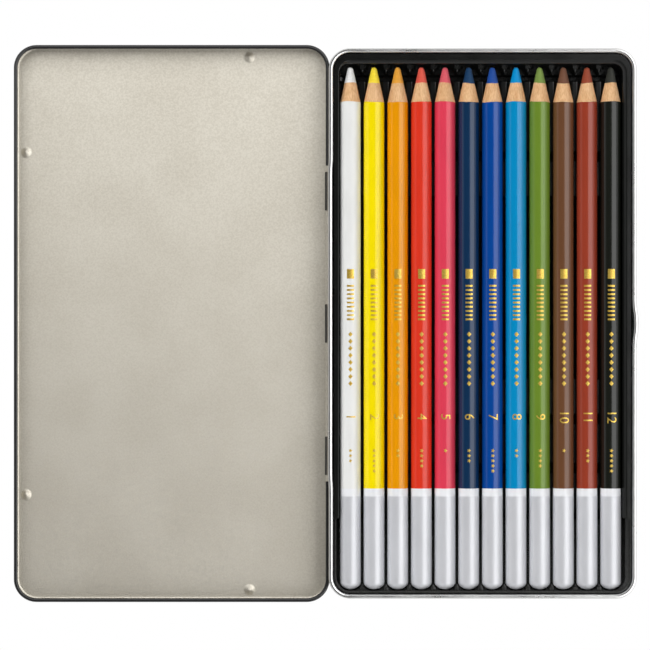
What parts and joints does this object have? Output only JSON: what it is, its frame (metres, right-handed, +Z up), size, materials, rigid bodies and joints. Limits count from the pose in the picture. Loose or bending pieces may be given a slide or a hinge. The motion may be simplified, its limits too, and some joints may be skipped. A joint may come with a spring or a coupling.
{
  "type": "colored pencil tin",
  "caption": "Flat hinged tin, open, with a formed black inlay tray that holds a row of round colored pencils; the lid folds over them and each pencil and the tray lift out.",
  "frame": {"origin": "centre of the pan's flat underside", "axes": "+X from the hinge to the pan's front edge, the open lid lying on -X; +Y along the pencils towards their tips; +Z up"},
  "size_m": [0.2094, 0.187, 0.0132],
  "materials": {
    "tinplate": "bright tinplate with a fine rolled grain",
    "lid_lacquer": "satin beige lacquer inside, gloss black outside and on the rolled edge",
    "tray_sheet": "glossy black formed sheet",
    "lacquer_white": "white gloss lacquer over pale wood, bare on the cone",
    "lacquer_yellow": "yellow gloss lacquer over pale wood, bare on the cone",
    "lacquer_orange": "orange gloss lacquer over pale wood, bare on the cone",
    "lacquer_red": "red gloss lacquer over pale wood, bare on the cone",
    "lacquer_carmine": "carmine gloss lacquer over pale wood, bare on the cone",
    "lacquer_dark_blue": "dark blue gloss lacquer over pale wood, bare on the cone",
    "lacquer_ultramarine": "ultramarine gloss lacquer over pale wood, bare on the cone",
    "lacquer_cyan": "cyan gloss lacquer over pale wood, bare on the cone",
    "lacquer_green": "green gloss lacquer over pale wood, bare on the cone",
    "lacquer_brown": "brown gloss lacquer over pale wood, bare on the cone",
    "lacquer_brick": "brick gloss lacquer over pale wood, bare on the cone",
    "lacquer_black": "black gloss lacquer over pale wood, bare on the cone",
    "pigment_white": "white dry pigment lead, matt",
    "pigment_yellow": "yellow dry pigment lead, matt",
    "pigment_orange": "orange dry pigment lead, matt",
    "pigment_red": "red dry pigment lead, matt",
    "pigment_carmine": "carmine dry pigment lead, matt",
    "pigment_dark_blue": "dark blue dry pigment lead, matt",
    "pigment_ultramarine": "ultramarine dry pigment lead, matt",
    "pigment_cyan": "cyan dry pigment lead, matt",
    "pigment_green": "green dry pigment lead, matt",
    "pigment_brown": "brown dry pigment lead, matt",
    "pigment_brick": "brick dry pigment lead, matt",
    "pigment_black": "black dry pigment lead, matt"
  },
  "bodies": {
    "base": {"base_pan": "tinplate"},
    "lid": {"lid": "lid_lacquer"},
    "tray": {"inlay_tray": "tray_sheet"},
    "pencil_white": {"barrel_white": "lacquer_white", "lead_white": "pigment_white"},
    "pencil_yellow": {"barrel_yellow": "lacquer_yellow", "lead_yellow": "pigment_yellow"},
    "pencil_orange": {"barrel_orange": "lacquer_orange", "lead_orange": "pigment_orange"},
    "pencil_red": {"barrel_red": "lacquer_red", "lead_red": "pigment_red"},
    "pencil_carmine": {"barrel_carmine": "lacquer_carmine", "lead_carmine": "pigment_carmine"},
    "pencil_dark_blue": {"barrel_dark_blue": "lacquer_dark_blue", "lead_dark_blue": "pigment_dark_blue"},
    "pencil_ultramarine": {"barrel_ultramarine": "lacquer_ultramarine", "lead_ultramarine": "pigment_ultramarine"},
    "pencil_cyan": {"barrel_cyan": "lacquer_cyan", "lead_cyan": "pigment_cyan"},
    "pencil_green": {"barrel_green": "lacquer_green", "lead_green": "pigment_green"},
    "pencil_brown": {"barrel_brown": "lacquer_brown", "lead_brown": "pigment_brown"},
    "pencil_brick": {"barrel_brick": "lacquer_brick", "lead_brick": "pigment_brick"},
    "pencil_black": {"barrel_black": "lacquer_black", "lead_black": "pigment_black"}
  },
  "joints": [
    {"name": "lid_hinge", "type": "hinge", "parent": "base", "child": "lid", "pos_m": [-0.05176, 0, 0.0073], "axis": [0, -1, 0], "range_deg": [-180, 0]},
    {"name": "tray_lift", "type": "slide", "parent": "base", "child": "tray", "axis": [0, 0, 1], "range_m": [0, 0.014]},
    {"name": "white_lift", "type": "slide", "parent": "tray", "child": "pencil_white", "axis": [0, 0, 1], "range_m": [0, 0.012]},
    {"name": "yellow_lift", "type": "slide", "parent": "tray", "child": "pencil_yellow", "axis": [0, 0, 1], "range_m": [0, 0.012]},
    {"name": "orange_lift", "type": "slide", "parent": "tray", "child": "pencil_orange", "axis": [0, 0, 1], "range_m": [0, 0.012]},
    {"name": "red_lift", "type": "slide", "parent": "tray", "child": "pencil_red", "axis": [0, 0, 1], "range_m": [0, 0.012]},
    {"name": "carmine_lift", "type": "slide", "parent": "tray", "child": "pencil_carmine", "axis": [0, 0, 1], "range_m": [0, 0.012]},
    {"name": "dark_blue_lift", "type": "slide", "parent": "tray", "child": "pencil_dark_blue", "axis": [0, 0, 1], "range_m": [0, 0.012]},
    {"name": "ultramarine_lift", "type": "slide", "parent": "tray", "child": "pencil_ultramarine", "axis": [0, 0, 1], "range_m": [0, 0.012]},
    {"name": "cyan_lift", "type": "slide", "parent": "tray", "child": "pencil_cyan", "axis": [0, 0, 1], "range_m": [0, 0.012]},
    {"name": "green_lift", "type": "slide", "parent": "tray", "child": "pencil_green", "axis": [0, 0, 1], "range_m": [0, 0.012]},
    {"name": "brown_lift", "type": "slide", "parent": "tray", "child": "pencil_brown", "axis": [0, 0, 1], "range_m": [0, 0.012]},
    {"name": "brick_lift", "type": "slide", "parent": "tray", "child": "pencil_brick", "axis": [0, 0, 1], "range_m": [0, 0.012]},
    {"name": "black_lift", "type": "slide", "parent": "tray", "child": "pencil_black", "axis": [0, 0, 1], "range_m": [0, 0.012]}
  ]
}
